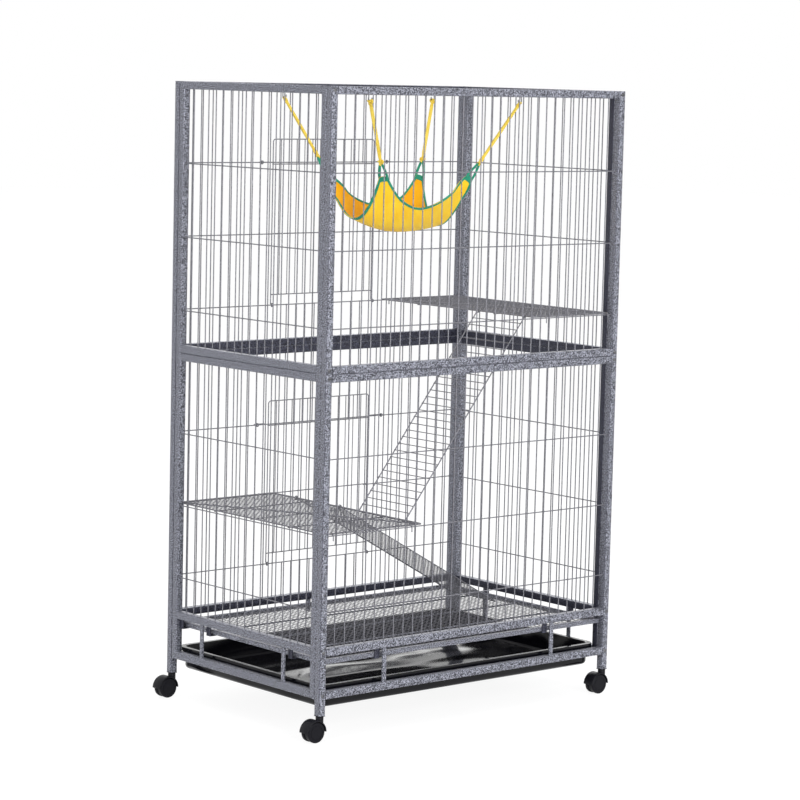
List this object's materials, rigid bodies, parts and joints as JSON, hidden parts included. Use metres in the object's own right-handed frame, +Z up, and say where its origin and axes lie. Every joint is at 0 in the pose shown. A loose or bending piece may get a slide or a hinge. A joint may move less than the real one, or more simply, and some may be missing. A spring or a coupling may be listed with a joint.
{
  "type": "ferret cage",
  "caption": "Two-storey wire ferret cage on casters, with fold-down doors, shelves and ramps, a hanging hammock, a floor grille and a slide-out tray.",
  "frame": {"origin": "middle of the footprint, casters included, on the floor; the steel frame's own middle is 16 mm toward -X, because the casters trail toward +X", "axes": "+Z up, -Y toward the doors, +X to the right of someone who faces the doors"},
  "size_m": [0.833, 0.5223, 1.2903],
  "materials": {
    "hammered_coat": "silver and black hammered powder coat, fine speckle, semi-gloss",
    "wire_coat": "the same coat on thin wire, which reads darker",
    "tray_plastic": "black, glossy",
    "caster_plastic": "black, satin",
    "plated_steel": "dark plated",
    "hammock_cloth": "woven, matt, with a green bound edge",
    "strap_webbing": "woven webbing, matt"
  },
  "bodies": {
    "cage": {"leg_front_left": "hammered_coat", "upper_post_front_left": "hammered_coat", "caster_stem_front_left": "plated_steel", "hammock_hook_front_left": "plated_steel", "hammock_strap_front_left": "strap_webbing", "leg_front_right": "hammered_coat", "upper_post_front_right": "hammered_coat", "caster_stem_front_right": "plated_steel", "hammock_hook_front_right": "plated_steel", "hammock_strap_front_right": "strap_webbing", "leg_back_left": "hammered_coat", "upper_post_back_left": "hammered_coat", "caster_stem_back_left": "plated_steel", "hammock_hook_back_left": "plated_steel", "hammock_strap_back_left": "strap_webbing", "leg_back_right": "hammered_coat", "upper_post_back_right": "hammered_coat", "caster_stem_back_right": "plated_steel", "hammock_hook_back_right": "plated_steel", "hammock_strap_back_right": "strap_webbing", "lower_back_panel": "hammered_coat", "lower_left_panel": "hammered_coat", "lower_right_panel": "hammered_coat", "lower_front_header": "hammered_coat", "lower_front_sill": "hammered_coat", "lower_front_wires_left": "wire_coat", "lower_front_wires_right": "wire_coat", "lower_shelf": "wire_coat", "upper_back_panel": "hammered_coat", "upper_left_panel": "hammered_coat", "upper_right_panel": "hammered_coat", "upper_front_header": "hammered_coat", "upper_front_sill": "hammered_coat", "upper_front_wires_left": "wire_coat", "upper_front_wires_right": "wire_coat", "upper_shelf": "wire_coat", "left_base_frame": "hammered_coat", "right_base_frame": "hammered_coat", "back_base_frame": "hammered_coat", "roof_panel": "wire_coat", "hammock": "hammock_cloth"},
    "lower_door": {"lower_door": "wire_coat"},
    "lower_catch_left": {"lower_catch_left": "wire_coat"},
    "lower_catch_right": {"lower_catch_right": "wire_coat"},
    "upper_door": {"upper_door": "wire_coat"},
    "upper_catch_left": {"upper_catch_left": "wire_coat"},
    "upper_catch_right": {"upper_catch_right": "wire_coat"},
    "tray": {"tray": "tray_plastic"},
    "floor_grille": {"floor_grille": "wire_coat"},
    "upper_ramp": {"upper_ramp": "wire_coat"},
    "lower_ramp": {"lower_ramp": "wire_coat"},
    "caster_front_left": {"caster_housing_front_left": "caster_plastic"},
    "wheels_front_left": {"caster_wheels_front_left": "caster_plastic"},
    "caster_front_right": {"caster_housing_front_right": "caster_plastic"},
    "wheels_front_right": {"caster_wheels_front_right": "caster_plastic"},
    "caster_back_left": {"caster_housing_back_left": "caster_plastic"},
    "wheels_back_left": {"caster_wheels_back_left": "caster_plastic"},
    "caster_back_right": {"caster_housing_back_right": "caster_plastic"},
    "wheels_back_right": {"caster_wheels_back_right": "caster_plastic"}
  },
  "joints": [
    {"name": "lower_door_hinge", "type": "hinge", "parent": "cage", "child": "lower_door", "pos_m": [-0.016, -0.2497, 0.258], "axis": [1, 0, 0], "range_deg": [0, 134]},
    {"name": "lower_catch_left_slide", "type": "slide", "parent": "cage", "child": "lower_catch_left", "axis": [-1, 0, 0], "range_m": [-0.016, 0]},
    {"name": "lower_catch_right_slide", "type": "slide", "parent": "cage", "child": "lower_catch_right", "axis": [1, 0, 0], "range_m": [-0.016, 0]},
    {"name": "upper_door_hinge", "type": "hinge", "parent": "cage", "child": "upper_door", "pos_m": [-0.016, -0.2497, 0.8183], "axis": [1, 0, 0], "range_deg": [0, 165]},
    {"name": "upper_catch_left_slide", "type": "slide", "parent": "cage", "child": "upper_catch_left", "axis": [-1, 0, 0], "range_m": [-0.016, 0]},
    {"name": "upper_catch_right_slide", "type": "slide", "parent": "cage", "child": "upper_catch_right", "axis": [1, 0, 0], "range_m": [-0.016, 0]},
    {"name": "tray_slide", "type": "slide", "parent": "cage", "child": "tray", "axis": [0, 1, 0], "range_m": [-0.42, 0]},
    {"name": "floor_grille_slide", "type": "slide", "parent": "cage", "child": "floor_grille", "axis": [0, 1, 0], "range_m": [-0.4, 0]},
    {"name": "upper_ramp_hinge", "type": "hinge", "parent": "cage", "child": "upper_ramp", "pos_m": [-0.1775, 0.145, 0.821], "axis": [0, -1, 0], "range_deg": [0, 50]},
    {"name": "lower_ramp_hinge", "type": "hinge", "parent": "cage", "child": "lower_ramp", "pos_m": [0.1165, -0.09, 0.4127], "axis": [0, 1, 0], "range_deg": [0, 60]},
    {"name": "caster_front_left_swivel", "type": "hinge", "parent": "cage", "child": "caster_front_left", "pos_m": [-0.408, -0.247, 0.045], "axis": [0, 0, 1], "continuous": true},
    {"name": "wheels_front_left_spin", "type": "hinge", "parent": "caster_front_left", "child": "wheels_front_left", "pos_m": [-0.392, -0.247, 0.02068], "axis": [0, 1, 0], "continuous": true},
    {"name": "caster_front_right_swivel", "type": "hinge", "parent": "cage", "child": "caster_front_right", "pos_m": [0.376, -0.247, 0.045], "axis": [0, 0, 1], "continuous": true},
    {"name": "wheels_front_right_spin", "type": "hinge", "parent": "caster_front_right", "child": "wheels_front_right", "pos_m": [0.392, -0.247, 0.02068], "axis": [0, 1, 0], "continuous": true},
    {"name": "caster_back_left_swivel", "type": "hinge", "parent": "cage", "child": "caster_back_left", "pos_m": [-0.408, 0.247, 0.045], "axis": [0, 0, 1], "continuous": true},
    {"name": "wheels_back_left_spin", "type": "hinge", "parent": "caster_back_left", "child": "wheels_back_left", "pos_m": [-0.392, 0.247, 0.02068], "axis": [0, 1, 0], "continuous": true},
    {"name": "caster_back_right_swivel", "type": "hinge", "parent": "cage", "child": "caster_back_right", "pos_m": [0.376, 0.247, 0.045], "axis": [0, 0, 1], "continuous": true},
    {"name": "wheels_back_right_spin", "type": "hinge", "parent": "caster_back_right", "child": "wheels_back_right", "pos_m": [0.392, 0.247, 0.02068], "axis": [0, 1, 0], "continuous": true}
  ]
}
